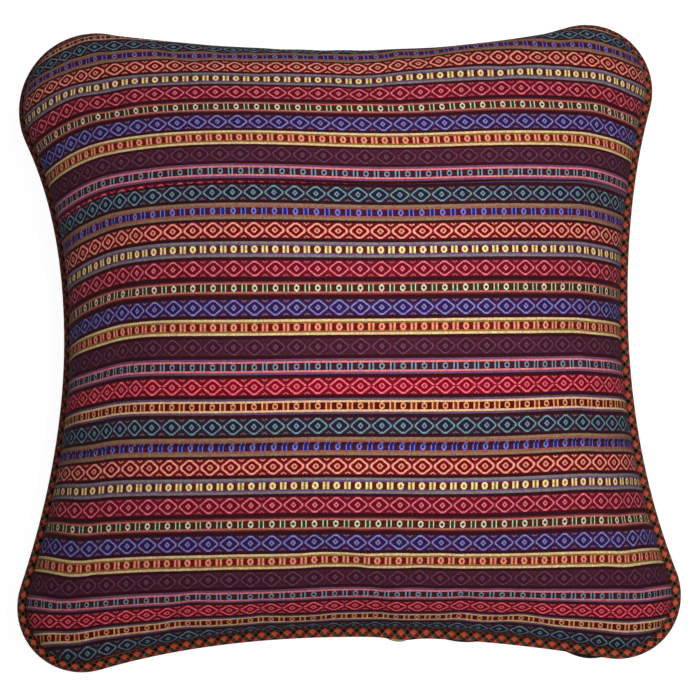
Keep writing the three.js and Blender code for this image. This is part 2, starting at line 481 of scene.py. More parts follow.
def smoothed(field, axis, width):
    """A field over the grid, averaged along one axis with Gaussian weights width cells wide."""
    count = field.shape[axis]
    gap = np.arange(count)[:, None] - np.arange(count)[None]
    weights = np.exp(-(gap**2) / (2 * width**2))
    weights = weights / weights.sum(axis=1, keepdims=True)
    return np.moveaxis(np.tensordot(weights, np.moveaxis(field, axis, 0), axes=1), 0, axis)


def linear(red, green, blue):
    """A display colour from 0 to 255 as the linear colour that materials use."""
    shares = np.array([red, green, blue]) / 255
    values = np.where(shares <= 0.04045, shares / 12.92, ((shares + 0.055) / 1.055) ** 2.4)
    return (*values.tolist(), 1.0)


def length(name, description, default):
    """A length that a user may change, in metres."""
    return bpy.props.FloatProperty(
        name=name, description=description, default=default, unit="LENGTH", subtype="DISTANCE"
    )


def part_of_one(name, description, default):
    """A share that a user may change."""
    return bpy.props.FloatProperty(name=name, description=description, default=default, subtype="FACTOR")


def turn_by(name, description, degrees):
    """An angle that a user may change."""
    return bpy.props.FloatProperty(
        name=name, description=description, default=math.radians(degrees), subtype="ANGLE"
    )


def colour(name, description, display):
    """A colour that a user may change, from its display values of 0 to 255."""
    value = linear(*display)
    return bpy.props.FloatVectorProperty(
        name=name, description=description, default=value, size=4, min=0, max=1, subtype="COLOR"
    )


class CushionSettings(bpy.types.PropertyGroup):
    front_crown: length("Front crown", "Middle of the front above the seam", 0.079)
    back_crown: length("Back crown", "Middle of the back below the seam, where nothing presses it", 0.075)
    seam_height: length("Seam height", "Seam above the floor", 0.063)
    rest_blend: length("Rest blend", "Depth over which the back rounds into its flat rest", 0.005)
    join_depth: length("Join depth", "Depth of the valleys where the front's strips join", 0.0008)
    largest_pucker: length("Largest pucker", "Farthest that the simulation may move the cloth", 0.001)
    slack: part_of_one("Slack", "Share by which the cloth is longer than its gathered seam", 0.02)
    pressure: bpy.props.FloatProperty(
        name="Filling pressure", description="Pressure of the filling as it is simulated", default=4.0
    )
    cells: bpy.props.IntProperty(
        name="Cells", description="Cells of cloth along each side", default=96, min=20, max=160
    )
    between: colour("Between the stripes", "Cloth of the front between its stripes", (51, 12, 21))
    back: colour("Back", "Plain cloth of the back", (26, 23, 26))


class PipingSettings(bpy.types.PropertyGroup):
    cord_radius: length("Cord radius", "Radius of the covered cord", 0.0035)
    seam_gap: length("Seam gap", "Room between the cord and the cushion", 0.0004)
    lip: length("Lip", "How far the piping's strip reaches into the seam it is sewn in", 0.0008)
    lap_place: length("Lap", "Where the cord's two ends lap, from the middle of the lower side", 0.032)
    lap_length: length("Lap length", "Length over which the lap is thicker", 0.011)
    lap_swell: part_of_one("Lap swell", "Share by which the lap is thicker than the cord", 0.28)
    fold_length: length("Fold length", "Length of the folded end over the lap", 0.012)
    fold_thickness: length("Fold thickness", "How far the folded end stands off the cord", 0.0009)
    sections: bpy.props.IntProperty(
        name="Sections", description="Sections of the cord along each side", default=150, min=40, max=400
    )
    red: colour("Red squares", "Squares where both sets of stripes are light", (222, 76, 52))
    olive: colour("Olive squares", "Squares where the first set alone is dark", (66, 60, 46))
    maroon: colour("Maroon squares", "Squares where the second set alone is dark", (112, 20, 26))
    black: colour("Black squares", "Squares where both sets of stripes are dark", (18, 14, 16))
    tan: colour("Tan threads", "Threads that part the squares", (176, 138, 84))


class StageSettings(bpy.types.PropertyGroup):
    distance: length("Camera distance", "From the camera to the middle of the seam", 1.4)
    tilt: turn_by("Camera tilt", "From straight above the pillow towards its lower edge", 8)
    roll: turn_by("Camera roll", "Turn of the camera about its own view", 0.8)
    lens: bpy.props.FloatProperty(
        name="Focal length", description="Focal length in millimetres on a 36 mm sensor", default=104.8
    )
    key_power: bpy.props.FloatProperty(
        name="Key light", description="Power of the light above the pillow", default=3.1, unit="POWER"
    )
    key_width: length("Key light's width", "Width of the soft light", 0.4)
    key_length: length("Key light's length", "Length of the soft light along the pillow's height", 0.83)
    sky: bpy.props.FloatProperty(
        name="Surrounding light", description="Strength of the even light from all around", default=0.08
    )
    floor_radius: length("Floor radius", "Where the floor starts to turn up", 3)
    wall_height: length("Wall height", "Height of the paper wall round the floor", 4)


class Wiring:
    """Builds a material's nodes from left to right. Each call adds a node and returns its output."""

    def __init__(self, name):
        self.material = bpy.data.materials.new(name)
        self.material.use_nodes = True
        self.tree = self.material.node_tree
        self.shader = self.tree.nodes["Principled BSDF"]
        self.count = 0

    def node(self, kind, label=""):
        """Adds a node in the next free place, eight nodes to a column."""
        made = self.tree.nodes.new(kind)
        made.label = label
        made.location = (-2600 + 190 * (self.count // 8), 600 - 170 * (self.count % 8))
        self.count += 1
        return made

    def put(self, socket, value):
        """Links an output to the socket, or sets the socket to a constant."""
        if isinstance(value, bpy.types.NodeSocket):
            self.tree.links.new(value, socket)
        else:
            socket.default_value = value

    def math(self, operation, *values, label=""):
        """A math node on up to three values."""
        made = self.node("ShaderNodeMath", label)
        made.operation = operation
        for index, value in enumerate(values):
            self.put(made.inputs[index], value)
        return made.outputs[0]

    def add(self, *values):
        """The sum of all values."""
        total = values[0]
        for value in values[1:]:
            total = self.math("ADD", total, value)
        return total

    def times(self, *values):
        """The product of all values, which is also where several masks are on."""
        total = values[0]
        for value in values[1:]:
            total = self.math("MULTIPLY", total, value)
        return total

    def minus(self, one, other):
        """One value less the other."""
        return self.math("SUBTRACT", one, other)

    def over_by(self, one, other, label=""):
        """One value divided by the other."""
        return self.math("DIVIDE", one, other, label=label)

    def size(self, value, label=""):
        """A value without its sign."""
        return self.math("ABSOLUTE", value, label=label)

    def least(self, one, other, label=""):
        """The smaller of two values."""
        return self.math("MINIMUM", one, other, label=label)

    def most(self, one, other, label=""):
        """The larger of two values, which is also where either mask is on."""
        return self.math("MAXIMUM", one, other, label=label)

    def clamped(self, value, label=""):
        """A value kept between 0 and 1."""
        return self.least(self.most(value, 0.0), 1.0, label)

    def under(self, one, other, label=""):
        """A mask where one value is less than the other."""
        return self.math("LESS_THAN", one, other, label=label)

    def over(self, one, other, label=""):
        """A mask where one value is more than the other."""
        return self.math("GREATER_THAN", one, other, label=label)

    def without(self, one, other):
        """One mask where the other is off."""
        return self.times(one, self.minus(1.0, other))

    def nearest(self, value, label):
        """The whole number nearest to a value."""
        return self.math("FLOOR", self.add(value, 0.5), label=label)

    def every_other(self, value, label):
        """0 or 1 by whether a whole number is even or odd."""
        return self.math("MODULO", value, 2.0, label=label)

    def stepped(self, value, thread):
        """A distance stepped to the middles of its threads."""
        return self.times(self.add(self.math("FLOOR", self.over_by(value, thread)), 0.5), thread)

    def wave(self, value, period):
        """A sine over a distance."""
        return self.math("SINE", self.times(value, 2 * math.pi / period))

    def slant(self, value, at, level, slope):
        """A straight line through a level at one value, rising by a slope."""
        return self.add(level, self.times(self.minus(value, at), slope))

    def oval(self, x, y, half_width, half_height):
        """A mask inside an oval round the motif's middle."""
        across = self.over_by(x, half_width)
        up = self.over_by(y, half_height)
        return self.under(self.add(self.times(across, across), self.times(up, up)), 1.0)

    def blend(self, share, one, other, label=""):
        """A number between two others."""
        made = self.node("ShaderNodeMix", label)
        made.data_type = "FLOAT"
        self.put(made.inputs[0], share)
        self.put(made.inputs[2], one)
        self.put(made.inputs[3], other)
        return made.outputs[0]

    def paint(self, share, one, other, label="", how="MIX"):
        """A colour between two others."""
        made = self.node("ShaderNodeMix", label)
        made.data_type = "RGBA"
        made.blend_type = how
        self.put(made.inputs[0], share)
        self.put(made.inputs[6], one)
        self.put(made.inputs[7], other)
        return made.outputs[2]

    def shade(self, colour, value, label):
        """A colour made brighter or darker by a number."""
        grey = self.node("ShaderNodeCombineColor", "Grey")
        for socket in grey.inputs:
            self.put(socket, value)
        return self.paint(1.0, colour, grey.outputs[0], label, "MULTIPLY")

    def pick(self, share, colours, label=""):
        """One of several colours by a share from 0 to 1, in equal steps."""
        made = self.node("ShaderNodeValToRGB", label)
        made.color_ramp.interpolation = "CONSTANT"
        stops = made.color_ramp.elements
        while len(stops) < len(colours):
            stops.new(0.5)
        for index in range(len(colours)):
            stops[index].position = index / len(colours)
        for index, colour in enumerate(colours):
            stops[index].color = colour
        self.put(made.inputs[0], share)
        return made.outputs[0]

    def sizes(self, share, rows, label):
        """Up to four sizes in millimetres by a share, out of a ramp that keeps them as a colour of
        tenths."""
        count = len(rows[0])
        tenths = [(*(size / 10 for size in row), *[1.0] * (4 - count)) for row in rows]
        colour = self.pick(share, tenths, label)
        split = self.node("ShaderNodeSeparateColor", label)
        self.put(split.inputs[0], colour)
        outputs = (*split.outputs, colour.node.outputs[1])[:count]
        return [self.times(output, 10.0) for output in outputs]

    def places(self):
        """A piece's cloth coordinates, and in millimetres, across and up."""
        source = self.node("ShaderNodeUVMap", "Cloth coordinates")
        source.uv_map = "cloth"
        split = self.node("ShaderNodeSeparateXYZ", "Across and up")
        self.put(split.inputs[0], source.outputs[0])
        across = self.times(split.outputs[0], 1000.0)
        up = self.times(split.outputs[1], 1000.0)
        return source.outputs[0], across, up

    def noise(self, vector, scale, detail, stretch, label):
        """Soft noise on cloth coordinates in metres, stretched along one of them."""
        sized = self.node("ShaderNodeMapping", "Stretch")
        sized.inputs["Scale"].default_value = stretch
        self.put(sized.inputs[0], vector)
        made = self.node("ShaderNodeTexNoise", label)
        made.inputs["Scale"].default_value = scale
        made.inputs["Detail"].default_value = detail
        self.put(made.inputs["Vector"], sized.outputs[0])
        return made.outputs[0]

    def matt_cloth(self, colour, relief, roughness):
        """The finish of every cloth: its colour, its relief in millimetres as bump, and no gloss."""
        bump = self.node("ShaderNodeBump", "Threads")
        bump.inputs["Strength"].default_value = 1.0
        bump.inputs["Distance"].default_value = MM
        self.put(bump.inputs["Height"], relief)
        self.put(self.shader.inputs["Normal"], bump.outputs[0])
        self.put(self.shader.inputs["Base Color"], colour)
        self.put(self.shader.inputs["Roughness"], roughness)
        self.shader.inputs["Specular IOR Level"].default_value = 0.1
        self.shader.location = (-2600 + 190 * (self.count // 8 + 1), 600)
        self.tree.nodes["Material Output"].location = (self.shader.location[0] + 320, 600)
        return self.material

    def weave(self, cloth, colour, threads, shade, relief, slub_relief=0.06, stretch=1, roughness=0.86):
        """A plain weave whose threads, from -1 to 1, and uneven slubs both shade and raise the cloth."""
        slubs = self.noise(cloth, 900, 2, (1, stretch, 1), "Slubs")
        light = self.add(self.times(threads, shade), self.times(slubs, 0.6), 0.7)
        height = self.add(self.times(threads, relief), self.times(slubs, slub_relief))
        shaded = self.shade(colour, light, "Thread shading")
        return self.matt_cloth(shaded, height, self.add(roughness, self.times(slubs, 0.1)))


# The twelve stripes of one woven repeat from the top down, in display colours: six stripes of diamonds
# and six of bars, taking turns. line is the motif's colour, hole its inside's, ground that of the stripe
# behind it, chevron that of the marks between two diamonds, and inner and outer are those of the two
# borders beside a stripe of bars.
STRIPES = 12
DIAMOND_NAMES = ("line", "hole", "ground", "chevron")
DIAMOND_COLOURS = [
    ((118, 152, 162), (34, 26, 50), (48, 28, 44), (136, 112, 116)),
    ((252, 162, 144), (112, 6, 2), (118, 14, 8), (252, 178, 174)),
    ((234, 116, 134), (110, 6, 24), (116, 8, 28), (182, 106, 120)),
    ((134, 132, 204), (50, 24, 70), (58, 24, 64), (152, 112, 144)),
    ((110, 66, 86), (64, 20, 38), (72, 24, 44), (86, 40, 54)),
    ((250, 108, 128), (130, 2, 20), (126, 2, 22), (220, 120, 134)),
]
BAR_NAMES = ("line", "hole", "ground", "inner", "outer")
BAR_COLOURS = [
    ((126, 122, 202), (24, 34, 128), (70, 20, 46), (152, 90, 76), (146, 116, 88)),
    ((252, 226, 160), (130, 114, 10), (90, 26, 16), (104, 76, 118), (132, 120, 122)),
    ((220, 220, 190), (34, 66, 26), (74, 30, 22), (190, 110, 92), (110, 36, 50)),
    ((244, 152, 124), (150, 46, 20), (106, 16, 12), (142, 106, 48), (234, 198, 144)),
    ((128, 148, 162), (4, 36, 58), (66, 24, 38), (232, 128, 130), (124, 74, 112)),
    ((242, 164, 110), (122, 46, 6), (88, 10, 6), (236, 188, 146), (100, 76, 102)),
]

# A stripe's bands in millimetres: half the height of its ground, and how thick its inner and its outer
# border are. Stripes of diamonds have no borders.
DIAMOND_BANDS = [(5.4, 0, 0)] * 6
BAR_BANDS = [
    (2.35, 1.3, 1.7),
    (2.4, 1, 1.6),
    (2.25, 1.15, 1),
    (2.4, 1.1, 1.5),
    (2.15, 1.3, 1.4),
    (2.1, 1.45, 1.4),
]

# A diamond's reach at its outer edge, its inner edge, the small diamond inside and the blunt tips.
DIAMOND_RINGS = [
    (5.8, 4.7, 2, 6.1),
    (5.95, 4.5, 2.2, 6.3),
    (5.8, 4.7, 2, 6.2),
    (5.8, 4.6, 2, 6.2),
    (5.7, 4.8, 1.9, 6),
    (5.85, 4.5, 2.2, 7),
]

# All diamonds: the slope of their sides, the height of the blunt top, and the height and strength of the
# link between two tips.
DIAMOND_SLOPE = 0.79
DIAMOND_TOP = 4.8
LINK_HEIGHT = 0.6
LINK_STRENGTH = 0.15

# Rings whose tips reach this far meet, and are parted by a dark line of this half height, which starts
# this far from the ring's middle.
TIPS_MEET = 6.8
PARTING_HEIGHT = 0.3
PARTING_START = 3.8

# The chevrons halfway between two diamonds: their level there, how fast they climb beside it, half their
# thickness, their half width and their strength.
CHEVRON_LEVEL = 3.8
CHEVRON_CLIMB = 0.5
CHEVRON_THICK = 0.4
CHEVRON_REACH = 1.8
CHEVRON_STRENGTH = 0.75

# The width of a bar, half the space inside a pair of bars, half the width of a ring and half the width
# of its hole.
BAR_MOTIFS = [
    (0.9, 0.95, 1.75, 0.75),
    (1.35, 0.7, 2.1, 0.7),
    (1, 0.9, 1.75, 0.95),
    (1.15, 0.85, 2.05, 0.75),
    (0.9, 0.8, 1.75, 0.95),
    (0.9, 1.1, 1.8, 1.05),
]


def in_turn(diamonds, bars):
    """The twelve stripes' values in order, diamonds and bars taking turns."""
    return [value for pair in zip(diamonds, bars) for value in pair]


def colours_of(name, default):
    """One colour of every stripe, or the default where a kind of stripe hasn't it."""
    kinds = []
    for names, stripes in ((DIAMOND_NAMES, DIAMOND_COLOURS), (BAR_NAMES, BAR_COLOURS)):
        found = name in names
        kinds.append([linear(*row[names.index(name)]) if found else default for row in stripes])
    return in_turn(*kinds)


def striped_cloth(between):
    """The front's woven cloth: twelve stripes to a repeat, pieced from three strips. The stripe number
    comes from the level, the place in its motif from the distance across, both stepped to threads, and
    every motif is drawn by comparing the two."""
    w = Wiring("striped_cloth")
    cloth, across, up = w.places()

    # The strip here, and how far off its joins are.
    upper_join = w.slant(across, *JOIN_SLANT)
    upper = w.over(up, upper_join, "Upper strip")
    lower = w.under(up, LOWER_JOIN, "Lower strip")
    from_upper = w.size(w.minus(up, upper_join))
    from_join = w.least(from_upper, w.size(w.minus(up, LOWER_JOIN)), "From a sewn join")

    def by_strip(values):
        """The number of the strip here, out of the lower, the middle and the upper strip's."""
        low, middle, high = values
        return w.add(middle, w.times(upper, high - middle), w.times(lower, low - middle))

    # The stripe here, and how far off its middle is. Near the lower seam the stripes lie closer.
    from_edge = w.clamped(w.over_by(w.minus(EDGE_TOP, up), EDGE_HEIGHT), "Near the lower edge")
    level = w.minus(up, w.times(from_edge, EDGE_TAKEN))
    pitch = by_strip(STRIPE_HEIGHT)
    stripes = w.over_by(w.minus(by_strip(FIRST_STRIPE), level), pitch, "Stripes down")
    stripe = w.nearest(stripes, "Stripe number")
    height = w.size(w.times(w.minus(stripes, stripe), pitch), "From stripe's middle")
    index = w.math("MODULO", w.add(stripe, 2 * STRIPES), STRIPES, label="Stripe in repeat")
    share = w.over_by(w.add(index, 0.5), STRIPES)
    is_bars = w.every_other(index, "Bars, not diamonds")

    # The filling gathers the cloth towards the sides, most at the left end of the middle strip.
    from_left = w.most(w.minus(by_strip(LEFT_GATHER), across), 0.0, "Gathered at the left")
    growth = w.over_by(w.minus(across, RIGHT_GATHER), RIGHT_GROWTH, "Gathered at the right")
    across = w.minus(across, w.times(from_left, by_strip(LEFT_SHARE)))
    across = w.add(across, w.times(w.math("EXPONENT", growth), RIGHT_LENGTH))

    # How far off the motif's middle is, in whole threads.
    bend_place, bend_middle, bend = UPPER_BEND
    off = w.minus(up, bend_place)
    upper_middle = w.minus(bend_middle, w.times(off, off, bend))
    middle = w.blend(lower, w.slant(up, *MIDDLE_LEAN), w.slant(up, *LOWER_LEAN))
    middle = w.blend(upper, middle, upper_middle, "Middle motif")
    motifs = w.over_by(w.minus(across, middle), MOTIF_PITCH)
    beside = w.times(w.size(w.minus(motifs, w.nearest(motifs, "Motif number"))), MOTIF_PITCH)
    x = w.stepped(beside, THREAD_ACROSS)
    y = w.stepped(height, THREAD_UP)
    gap = w.minus(MOTIF_PITCH / 2, x)

    # Sizes of this stripe.
    bands = in_turn(DIAMOND_BANDS, BAR_BANDS)
    ground_half, inner_size, outer_size = w.sizes(share, bands, "Border sizes")
    motif_sizes = in_turn(DIAMOND_RINGS, BAR_MOTIFS)
    first, second, third, fourth = w.sizes(share, motif_sizes, "Motif sizes")

    # Diamonds: a ring with blunt top and tips, a small diamond in it, a link at the tips and chevrons
    # between. Where the tips of two rings meet, a thin dark line parts them.
    flat = w.add(w.times(x, DIAMOND_SLOPE), y)
    thick = w.minus(first, second)
    ring = w.times(w.under(flat, first), w.under(y, DIAMOND_TOP), w.under(x, fourth))
    inner_top = w.minus(DIAMOND_TOP, w.times(thick, 0.8))
    inner_tip = w.minus(fourth, w.times(thick, 0.9))
    inside = w.times(w.under(flat, second), w.under(y, inner_top), w.under(x, inner_tip))
    core = w.under(w.add(x, y), third)
    eye = w.times(w.under(w.add(x, y), w.minus(third, 1.0)), 0.85)
    parting = w.times(w.over(fourth, TIPS_MEET), w.under(y, PARTING_HEIGHT), w.over(x, PARTING_START))
    diamond_line = w.most(w.without(w.without(ring, inside), parting), w.without(core, eye))
    diamond_hole = w.without(inside, core)
    link = w.times(w.under(y, LINK_HEIGHT), w.over(x, fourth))
    from_chevron = w.size(w.minus(y, w.add(CHEVRON_LEVEL, w.times(gap, CHEVRON_CLIMB))))
    chevron = w.times(w.under(from_chevron, CHEVRON_THICK), w.under(gap, CHEVRON_REACH))

    # Bars in pairs, and round rings between them.
    in_ground = w.under(y, ground_half, "In the ground")
    pair = w.times(w.over(gap, second), w.under(gap, w.add(first, second)))
    ring_hole = w.oval(x, y, fourth, w.times(ground_half, 0.5))
    round_ring = w.without(w.oval(x, y, third, ground_half), ring_hole)
    bars_line = w.times(w.most(pair, round_ring), in_ground)
    bars_hole = w.times(w.most(w.under(gap, second), ring_hole), in_ground)

    # Colours, laid over each other. The borders' edges step in and out with the ribs.
    ribs = w.wave(beside, THREAD_ACROSS)
    edge = w.add(height, w.times(ribs, 0.12))
    inner_half = w.add(ground_half, inner_size)
    outer_half = w.add(inner_half, outer_size)
    is_diamonds = w.minus(1.0, is_bars)
    line = w.blend(is_bars, diamond_line, bars_line, "Motif")
    layers = {
        "outer": w.under(edge, outer_half),
        "inner": w.under(edge, inner_half),
        "ground": in_ground,
        "hole": w.blend(is_bars, diamond_hole, bars_hole, "Motif's inside"),
        "chevron": w.times(chevron, is_diamonds, CHEVRON_STRENGTH),
        "line": w.most(line, w.times(link, is_diamonds, LINK_STRENGTH)),
    }
    colour = between
    for name, mask in layers.items():
        colour = w.paint(mask, colour, w.pick(share, colours_of(name, between), name), name)

    # Threads: ribs across and up, a little uneven and flecked. Where strips join, painted shade darkens
    # the cloth in the fold, and the relief sinks.
    picks = w.wave(height, THREAD_UP)
    slubs = w.noise(cloth, 1150, 2, (1, 0.6, 1), "Slubs")
    light = w.add(w.times(ribs, 0.08), w.times(picks, 0.1), w.times(slubs, 1.4), 0.32)
    # Painted shade: within about 1.6 mm of a join the colour is darkened, down to 0.45 at the join
    # itself.
    painted_fold_shade = w.least(w.add(w.times(from_join, 0.35), 0.45), 1.0, "Painted shade in the join's fold")
    colour = w.shade(colour, w.times(light, painted_fold_shade), "Thread shading")
    patches = w.noise(cloth, 60, 3, (0.4, 1, 1), "Dye")
    colour = w.shade(colour, w.add(0.9, w.times(patches, 0.2)), "Dye")
    flecks = w.noise(cloth, 720, 1, (0.75, 1, 1), "Flecks").node.outputs[1]
    doubled = w.paint(1.0, flecks, flecks, "Flecks", "ADD")
    colour = w.paint(0.7, colour, doubled, "Flecked yarn", "MULTIPLY")
    weave = w.times(w.add(ribs, picks), 0.035)
    relief = w.add(w.times(line, 0.12), weave, w.times(slubs, 0.06))
    relief = w.minus(relief, w.times(w.under(from_join, 0.35, "Sewn join"), 0.25))
    return w.matt_cloth(colour, relief, w.add(0.86, w.times(slubs, 0.1)))


def plain_cloth(colour):
    """The back's plain weave of one colour: threads over and under each other in both directions."""
    w = Wiring("plain_back")
    cloth, across, up = w.places()
    threads = w.times(w.wave(across, 2 * BACK_THREAD), w.wave(up, 2 * BACK_THREAD))
    return w.weave(cloth, colour, threads, 0.15, 0.06, 0.05, 0.3, 0.88)


def check_cloth(cord):
    """The piping's small woven check, cut on the bias: its two sets of stripes run at 45 degrees to the
    cord, so they are told by the sum and the difference of the places along and round it."""
    w = Wiring("bias_check")
    cloth, along, round_it = w.places()
    squares = math.sqrt(0.5) / CHECK_SQUARE
    masks = []
    edges = []
    ribs = []
    for slanted in (w.add(along, round_it), w.minus(along, round_it)):
        place = w.times(slanted, squares)
        above_zero = w.add(place, 1000.0)
        masks.append(w.every_other(w.math("FLOOR", above_zero), "One set of stripes"))
        edges.append(w.under(w.math("FRACT", above_zero), 0.14))
        ribs.append(w.wave(place, 1 / 6))
    light = w.paint(masks[0], cord.red, cord.olive, "Light crossings")
    dark = w.paint(masks[0], cord.maroon, cord.black, "Dark crossings")
    colour = w.paint(masks[1], light, dark, "Check")
    colour = w.paint(w.times(w.most(*edges), 0.35), colour, cord.tan, "Tan threads")
    return w.weave(cloth, colour, w.times(*ribs), 0.12, 0.05)


def folded_end_cloth():
    """The turned end of the piping's strip: its tan inside, redder where the check shows through."""
    w = Wiring("folded_end")
    cloth, along = w.places()[:2]
    red = linear(206, 112, 66)
    colour = w.paint(w.clamped(w.over_by(along, 9.0)), red, linear(176, 172, 140), "Red to tan")
    colour = w.paint(w.under(along, 5.0), colour, linear(204, 168, 92), "Tan fold")
    colour = w.paint(w.under(along, 2.5), colour, red, "Red edge")
    return w.weave(cloth, colour, w.math("SINE", w.times(along, 12.0)), 0.1, 0.05)


def gather_cloth(points, quads, pinned, shape):
    """Moves of the cover's points when it is sewn on a slightly shorter seam and filled: a cloth
    simulation with pressure inside, held at the seam, run for a few frames without gravity."""
    mesh = new_mesh("simulated_cover", points * MM, quads)
    cover = placed("simulated_cover", mesh)
    group = cover.vertex_groups.new(name="seam")
    group.add(pinned.tolist(), 1.0, "REPLACE")
    modifier = cover.modifiers.new("Cover", "CLOTH")
    modifier.collision_settings.use_collision = False
    cloth = modifier.settings
    cloth.quality = 6
    cloth.mass = 0.3
    cloth.tension_stiffness = 15
    cloth.compression_stiffness = 15
    cloth.shear_stiffness = 5
    cloth.bending_stiffness = 0.5
    cloth.air_damping = 5
    cloth.use_pressure = True
    cloth.uniform_pressure_force = shape.pressure
    cloth.shrink_min = -shape.slack
    cloth.vertex_group_mass = "seam"
    cloth.effector_weights.gravity = 0
    scene = bpy.context.scene
    for number in range(1, FRAMES + 1):
        scene.frame_set(number)
    filled = cover.evaluated_get(bpy.context.evaluated_depsgraph_get())
    moved = np.empty(len(points) * 3)
    filled.to_mesh().vertices.foreach_get("co", moved)
    filled.to_mesh_clear()
    bpy.data.objects.remove(cover)
    bpy.data.meshes.remove(mesh)
    scene.frame_set(1)
    moves = moved.reshape(-1, 3) / MM - points
    if not np.isfinite(moves).all():
        raise ValueError("the cloth simulation broke down")
    return moves


def puckers(moves, a, shape):
    """The simulation's short folds alone: near a side, what is left of a move when it is averaged along
    that side, so that the cushion keeps its fitted shape, none at the piping, and no larger than the
    cap."""
    along_x = moves - smoothed(moves, 1, 5)
    along_y = moves - smoothed(moves, 0, 5)
    side_a = np.abs(np.broadcast_to(a, moves.shape[:2])) ** 6
    side_b = np.abs(np.broadcast_to(a[:, None], moves.shape[:2])) ** 6
    share = ((side_b + 0.001) / (side_a + side_b + 0.002))[..., None]
    folds = along_x * share + along_y * (1 - share)
    full = fullness(a[None], a[:, None])[..., None]
    folds = folds * ease(np.clip((full - 0.15) / 0.2, 0, 1))
    size = np.linalg.norm(folds, axis=2, keepdims=True)
    cap = shape.largest_pucker / MM
    return folds * cap * np.tanh(size / cap) / np.maximum(size, 1e-6)


def grid_normals(points):
    """Upward unit normals over a grid of points."""
    normal = np.cross(np.gradient(points, axis=1), np.gradient(points, axis=0))
    length = np.linalg.norm(normal, axis=2, keepdims=True)
    return normal / np.maximum(length, 1e-9)


def both_faces(front, back):
    """The front's points, then the back's without its rim, which is the front's."""
    return np.concatenate([front.reshape(-1, 3), back[1:-1, 1:-1].reshape(-1, 3)])


class PILLOW_OT_cushion(bpy.types.Operator):
    """Builds the filled cushion: striped front, plain back, gathered on its seam"""

    bl_idname = "pillow.cushion"
    bl_label = "Cushion"

    def execute(self, context):
        shape = context.scene.pillow_cushion
        cells = shape.cells
        a = spacing(cells)
        grid_a, grid_b = np.meshgrid(a, a)
        front = face_points(grid_a, grid_b, True, shape)
        back = face_points(grid_a, grid_b, False, shape)
        across, level = cloth_places(front, a)

        # The front's numbers come first, then the back's inside their common rim.
        front_numbers = np.arange((cells + 1) ** 2).reshape(cells + 1, -1)
        inner = front_numbers.size + np.arange((cells - 1) ** 2)
        back_numbers = front_numbers.copy()
        back_numbers[1:-1, 1:-1] = inner.reshape(cells - 1, -1)
        rim = front_numbers[front_numbers == back_numbers]
        quads = np.concatenate([grid_quads(front_numbers), grid_quads(back_numbers)[:, ::-1]])
        is_back = np.arange(len(quads)) >= len(quads) // 2

        moves = gather_cloth(both_faces(front, back), quads, rim, shape)
        front = front + puckers(moves[front_numbers], a, shape)
        back = back + puckers(moves[back_numbers], a, shape)
        back[..., 2] = np.maximum(back[..., 2], 0)

        back[..., 1] -= back_swell(grid_a, grid_b, back[..., 0])
        valley = sum(np.exp(-(((level - join) / JOIN_WIDTH) ** 2)) for join in (UPPER_JOIN, LOWER_JOIN))
        valley = valley * fullness(grid_a, grid_b) * shape.join_depth / MM
        front = front - grid_normals(front) * valley[..., None]
        points = both_faces(front, back) - plan_middle(shape, context.scene.pillow_piping)

        mesh = new_mesh("cushion_cover", points * MM, quads)
        numbers = corner_points(mesh)
        front_cloth = np.zeros((len(points), 2))
        front_cloth[front_numbers] = np.stack([across, level], axis=-1)
        back_cloth = points[:, :2] + np.array(BACK_CLOTH)
        on_back = np.repeat(is_back, 4)[:, None]
        set_cloth(mesh, np.where(on_back, back_cloth[numbers], front_cloth[numbers]))
        materials = [striped_cloth(shape.between), plain_cloth(shape.back)]
        cushion = new_piece("cushion_cover", mesh, materials)
        mesh.polygons.foreach_set("material_index", is_back.astype(np.int32))
        mesh.update()
        subdivide(cushion)
        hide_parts("cushion")
        return {"FINISHED"}


class PILLOW_OT_piping(bpy.types.Operator):
    """Builds the corded piping in the groove of the seam, thicker where its ends lap"""

    bl_idname = "pillow.piping"
    bl_label = "Piping"

    def execute(self, context):
        shape = context.scene.pillow_cushion
        cord = context.scene.pillow_piping
        turns = np.linspace(0, 4, 4 * cord.sections + 1)[:-1]
        centre, outward, radius, lean, seam_reach = cord_line(turns, shape, cord)

        # Each ring starts towards the seam, with the lip by which the strip is sewn in.
        reach = np.repeat(radius[:, None], CORD_SIDES, axis=1)
        reach[:, 0] += (seam_reach - radius) * 1.5 + cord.lip / MM
        rings = tube_points(centre, outward, reach, ring_angles(np.pi + lean, CORD_SIDES))
        points = rings.reshape(-1, 3) - plan_middle(shape, cord)
        numbers = np.arange(len(points)).reshape(-1, CORD_SIDES)
        closed = np.pad(numbers, ((0, 1), (0, 1)), mode="wrap")
        mesh = new_mesh("piping_cord", points * MM, grid_quads(closed)[:, ::-1])

        # Cloth places: how far along the cord, in whole repeats, and how far round it.
        along = lengths_along(np.concatenate([centre, centre[:1]]))
        along = along / along[-1] * round(along[-1] / CHECK_REPEAT) * CHECK_REPEAT
        round_it = np.linspace(0, CHECK_REPEAT * 2.5, CORD_SIDES + 1)
        spots = np.stack(np.meshgrid(along, round_it, indexing="ij"), axis=-1).reshape(-1, 2)
        corners = grid_quads(np.arange(len(spots)).reshape(len(along), -1))[:, ::-1]
        set_cloth(mesh, spots[corners])
        piping = new_piece("piping_cord", mesh, [check_cloth(cord)])
        subdivide(piping)
        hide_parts("piping")
        return {"FINISHED"}


